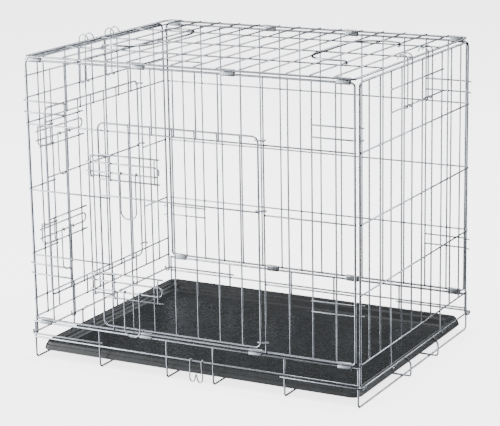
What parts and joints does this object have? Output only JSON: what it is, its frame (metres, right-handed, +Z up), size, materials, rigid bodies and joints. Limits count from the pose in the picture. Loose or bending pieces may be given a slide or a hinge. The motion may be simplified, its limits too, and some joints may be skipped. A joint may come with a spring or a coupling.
{
  "type": "wire dog crate",
  "caption": "Folding welded-wire pet crate with doors on a long side and an end, slide bolts, snap hooks, carry handles, hinge clips and a black tray.",
  "frame": {"origin": "on the floor under the middle of the basket base", "axes": "+X along the long sides towards the plain end, -Y out of the front long side with its door, +Z up"},
  "size_m": [0.6598, 0.4878, 0.5495],
  "materials": {
    "zinc_wire": "bright zinc plating on drawn steel wire",
    "spring_wire": "bright zinc plating on hard-drawn wire",
    "galvanised_sheet": "galvanised sheet, rolled",
    "black_plastic": "satin moulded polypropylene"
  },
  "bodies": {
    "base": {"base_basket": "zinc_wire", "base_clip_front_1": "galvanised_sheet", "base_clip_front_2": "galvanised_sheet", "base_clip_front_3": "galvanised_sheet", "base_clip_front_4": "galvanised_sheet", "base_clip_rear_1": "galvanised_sheet", "base_clip_rear_2": "galvanised_sheet", "base_clip_rear_3": "galvanised_sheet", "base_clip_rear_4": "galvanised_sheet"},
    "tray": {"tray": "black_plastic"},
    "rear_panel": {"rear_panel": "zinc_wire"},
    "top_panel": {"top_panel": "zinc_wire", "top_clip_front_1": "galvanised_sheet", "top_clip_front_2": "galvanised_sheet", "top_clip_front_3": "galvanised_sheet", "top_clip_front_4": "galvanised_sheet", "top_clip_rear_1": "galvanised_sheet", "top_clip_rear_2": "galvanised_sheet", "top_clip_rear_3": "galvanised_sheet", "top_clip_rear_4": "galvanised_sheet"},
    "front_panel": {"front_panel": "zinc_wire"},
    "right_end": {"right_end_panel": "zinc_wire"},
    "left_end": {"left_end_panel": "zinc_wire"},
    "front_door": {"front_door": "zinc_wire"},
    "side_door": {"side_door": "zinc_wire"},
    "front_door_lower_bolt": {"front_door_lower_bolt": "spring_wire"},
    "front_door_lower_pull": {"front_door_lower_pull": "spring_wire"},
    "front_door_upper_bolt": {"front_door_upper_bolt": "spring_wire"},
    "front_door_upper_pull": {"front_door_upper_pull": "spring_wire"},
    "side_door_lower_bolt": {"side_door_lower_bolt": "spring_wire"},
    "side_door_lower_pull": {"side_door_lower_pull": "spring_wire"},
    "side_door_upper_bolt": {"side_door_upper_bolt": "spring_wire"},
    "side_door_upper_pull": {"side_door_upper_pull": "spring_wire"},
    "right_snap_hook_front": {"right_snap_hook_front": "spring_wire"},
    "right_snap_hook_rear": {"right_snap_hook_rear": "spring_wire"},
    "left_snap_hook_front": {"left_snap_hook_front": "spring_wire"},
    "left_snap_hook_rear": {"left_snap_hook_rear": "spring_wire"},
    "carry_handle_right": {"carry_handle_right": "spring_wire"},
    "carry_handle_left": {"carry_handle_left": "spring_wire"},
    "transit_clip": {"transit_clip": "spring_wire"}
  },
  "joints": [
    {"name": "rear_panel_fold", "type": "hinge", "parent": "base", "child": "rear_panel", "pos_m": [0, 0.2398, 0.073], "axis": [1, 0, 0], "range_deg": [-82, 0]},
    {"name": "top_panel_fold", "type": "hinge", "parent": "rear_panel", "child": "top_panel", "pos_m": [0, 0.2398, 0.5304], "axis": [1, 0, 0], "range_deg": [0, 82]},
    {"name": "front_panel_fold", "type": "hinge", "parent": "top_panel", "child": "front_panel", "pos_m": [0, -0.2302, 0.5304], "axis": [1, 0, 0], "range_deg": [-82, 0]},
    {"name": "right_end_fold", "type": "hinge", "parent": "base", "child": "right_end", "pos_m": [0.3166, 0.0048, 0.035], "axis": [0, 1, 0], "range_deg": [-90, 0]},
    {"name": "left_end_fold", "type": "hinge", "parent": "base", "child": "left_end", "pos_m": [-0.3166, 0.0048, 0.045], "axis": [0, -1, 0], "range_deg": [-90, 0]},
    {"name": "tray_lift", "type": "slide", "parent": "base", "child": "tray", "axis": [0, 0, 1], "range_m": [0, 0.04]},
    {"name": "front_door_swing", "type": "hinge", "parent": "front_panel", "child": "front_door", "pos_m": [0.147, -0.2324, 0.25], "axis": [0, 0, 1], "range_deg": [0, 140]},
    {"name": "side_door_swing", "type": "hinge", "parent": "left_end", "child": "side_door", "pos_m": [-0.3169, 0.1553, 0.25], "axis": [0, 0, -1], "range_deg": [0, 140]},
    {"name": "front_door_lower_bolt_slide", "type": "slide", "parent": "front_door", "child": "front_door_lower_bolt", "axis": [1, 0, 0], "range_m": [0, 0.024]},
    {"name": "front_door_lower_pull_swing", "type": "hinge", "parent": "front_door_lower_bolt", "child": "front_door_lower_pull", "pos_m": [-0.103, -0.23985, 0.145], "axis": [-1, 0, 0], "range_deg": [0, 100]},
    {"name": "front_door_upper_bolt_slide", "type": "slide", "parent": "front_door", "child": "front_door_upper_bolt", "axis": [1, 0, 0], "range_m": [0, 0.024]},
    {"name": "front_door_upper_pull_swing", "type": "hinge", "parent": "front_door_upper_bolt", "child": "front_door_upper_pull", "pos_m": [-0.103, -0.23985, 0.351], "axis": [-1, 0, 0], "range_deg": [0, 100]},
    {"name": "side_door_lower_bolt_slide", "type": "slide", "parent": "side_door", "child": "side_door_lower_bolt", "axis": [0, 1, 0], "range_m": [0, 0.024]},
    {"name": "side_door_lower_pull_swing", "type": "hinge", "parent": "side_door_lower_bolt", "child": "side_door_lower_pull", "pos_m": [-0.32435, -0.0982, 0.204], "axis": [0, 1, 0], "range_deg": [0, 100]},
    {"name": "side_door_upper_bolt_slide", "type": "slide", "parent": "side_door", "child": "side_door_upper_bolt", "axis": [0, 1, 0], "range_m": [0, 0.024]},
    {"name": "side_door_upper_pull_swing", "type": "hinge", "parent": "side_door_upper_bolt", "child": "side_door_upper_pull", "pos_m": [-0.32435, -0.0982, 0.38], "axis": [0, 1, 0], "range_deg": [0, 100]},
    {"name": "right_snap_hook_front_release", "type": "hinge", "parent": "right_end", "child": "right_snap_hook_front", "pos_m": [0.3147, -0.0382, 0.4635], "axis": [0, 1, 0], "range_deg": [0, 30], "stiffness_Nm_per_rad": 0.004, "springref_deg": -5.73},
    {"name": "right_snap_hook_rear_release", "type": "hinge", "parent": "right_end", "child": "right_snap_hook_rear", "pos_m": [0.3147, 0.0478, 0.4635], "axis": [0, 1, 0], "range_deg": [0, 30], "stiffness_Nm_per_rad": 0.004, "springref_deg": -5.73},
    {"name": "left_snap_hook_front_release", "type": "hinge", "parent": "left_end", "child": "left_snap_hook_front", "pos_m": [-0.3147, -0.0382, 0.4635], "axis": [0, -1, 0], "range_deg": [0, 30], "stiffness_Nm_per_rad": 0.004, "springref_deg": -5.73},
    {"name": "left_snap_hook_rear_release", "type": "hinge", "parent": "left_end", "child": "left_snap_hook_rear", "pos_m": [-0.3147, 0.0478, 0.4635], "axis": [0, -1, 0], "range_deg": [0, 30], "stiffness_Nm_per_rad": 0.004, "springref_deg": -5.73},
    {"name": "carry_handle_right_lift", "type": "hinge", "parent": "top_panel", "child": "carry_handle_right", "pos_m": [0.231, 0.0048, 0.5386], "axis": [0, 1, 0], "range_deg": [0, 105]},
    {"name": "carry_handle_left_lift", "type": "hinge", "parent": "top_panel", "child": "carry_handle_left", "pos_m": [-0.231, 0.0048, 0.5386], "axis": [0, -1, 0], "range_deg": [0, 105]},
    {"name": "transit_clip_swing", "type": "hinge", "parent": "base", "child": "transit_clip", "pos_m": [0.015, -0.2328, 0.0394], "axis": [-1, 0, 0], "range_deg": [0, 110]}
  ],
  "couplings": [
    {"joint": "top_panel_fold", "follows": "rear_panel_fold", "ratio": -1},
    {"joint": "front_panel_fold", "follows": "rear_panel_fold", "ratio": 1}
  ]
}
